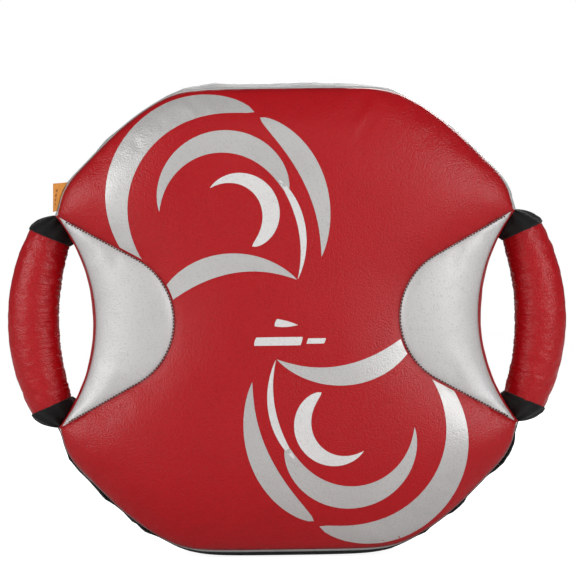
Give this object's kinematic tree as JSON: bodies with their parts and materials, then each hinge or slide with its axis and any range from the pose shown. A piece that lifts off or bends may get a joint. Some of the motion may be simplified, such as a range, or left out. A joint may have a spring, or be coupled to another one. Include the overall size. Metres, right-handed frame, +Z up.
{
  "type": "round strike shield",
  "caption": "Round padded strike shield with flat top and bottom, hollowed sides, a bowed padded handle on each side, and a forearm strap and grip behind.",
  "frame": {"origin": "middle of the flat bottom side that the shield stands on", "axes": "+Z up, +X to the right as the striker sees the front, the front faces -Y"},
  "size_m": [0.5248, 0.1623, 0.444],
  "materials": {
    "red_leather": "satin",
    "silver_leather": "satin",
    "black_leather": "satin",
    "black_fabric": "matte",
    "webbing": "matte",
    "hook_and_loop": "matte",
    "label_weave": "matte",
    "foam": "matte",
    "impact_gel": "matte",
    "zip_plastic": "satin",
    "zip_metal": "satin",
    "ring_plastic": "satin"
  },
  "bodies": {
    "shield": {"front_panel": "red_leather", "inset_right": "silver_leather", "inset_left": "silver_leather", "gusset_top": "silver_leather", "gusset_trim": "silver_leather", "gusset_bottom": "black_fabric", "gusset_right": "red_leather", "gusset_left": "red_leather", "back_panel": "black_fabric", "back_binding": "webbing", "foam_face": "foam", "impact_sheet": "impact_gel", "foam_core": "foam", "back_board": "foam", "corner_patch_right_lower": "webbing", "corner_patch_right_upper": "webbing", "corner_patch_left_upper": "webbing", "corner_patch_left_lower": "webbing", "side_label": "label_weave", "zip_tape_upper": "webbing", "zip_tape_lower": "webbing", "zip_coil_upper": "zip_plastic", "zip_coil_lower": "zip_plastic", "zip_stop_right": "zip_metal", "zip_stop_left": "zip_metal", "forearm_strap": "webbing", "forearm_pad": "black_fabric", "strap_loop_patch": "hook_and_loop", "strap_patch_upper": "black_leather", "strap_ring": "ring_plastic", "ring_tab": "webbing", "ring_tab_patch": "black_leather", "grip_anchor_upper": "black_leather", "grip_anchor_lower": "black_leather"},
    "right_handle": {"handle_sleeve_right": "red_leather", "handle_foam_right": "foam", "handle_webbing_right": "webbing", "cuff_right_upper": "black_fabric", "cuff_right_lower": "black_fabric"},
    "left_handle": {"handle_sleeve_left": "red_leather", "handle_foam_left": "foam", "handle_webbing_left": "webbing", "cuff_left_upper": "black_fabric", "cuff_left_lower": "black_fabric"},
    "rear_grip": {"rear_grip_cover": "black_leather", "rear_grip_core": "foam"},
    "tail": {"strap_tail": "webbing", "strap_hook_patch": "hook_and_loop"},
    "slider": {"zip_slider": "zip_metal"},
    "puller": {"zip_puller": "zip_metal"}
  },
  "joints": [
    {"name": "right_handle_swing", "type": "hinge", "parent": "shield", "child": "right_handle", "pos_m": [0.2145, 0, 0.222], "axis": [0, 0, 1], "range_deg": [-30, 30], "stiffness_Nm_per_rad": 0.4},
    {"name": "left_handle_swing", "type": "hinge", "parent": "shield", "child": "left_handle", "pos_m": [-0.2145, 0, 0.222], "axis": [0, 0, 1], "range_deg": [-30, 30], "stiffness_Nm_per_rad": 0.4},
    {"name": "rear_grip_swing", "type": "hinge", "parent": "shield", "child": "rear_grip", "pos_m": [0.08, 0.048, 0.222], "axis": [0, 0, 1], "range_deg": [-60, 60], "stiffness_Nm_per_rad": 0.05},
    {"name": "strap_tail_peel", "type": "hinge", "parent": "shield", "child": "tail", "pos_m": [-0.08, 0.05975, 0.15627], "axis": [-1, 0, 0], "range_deg": [0, 130]},
    {"name": "zip_slide", "type": "slide", "parent": "shield", "child": "slider", "axis": [-1, 0, 0], "range_m": [0, 0.236]},
    {"name": "zip_pull_tilt", "type": "hinge", "parent": "slider", "child": "puller", "pos_m": [0.118, 0.04535, 0.072], "axis": [0, 0, 1], "range_deg": [-175, 0]}
  ]
}
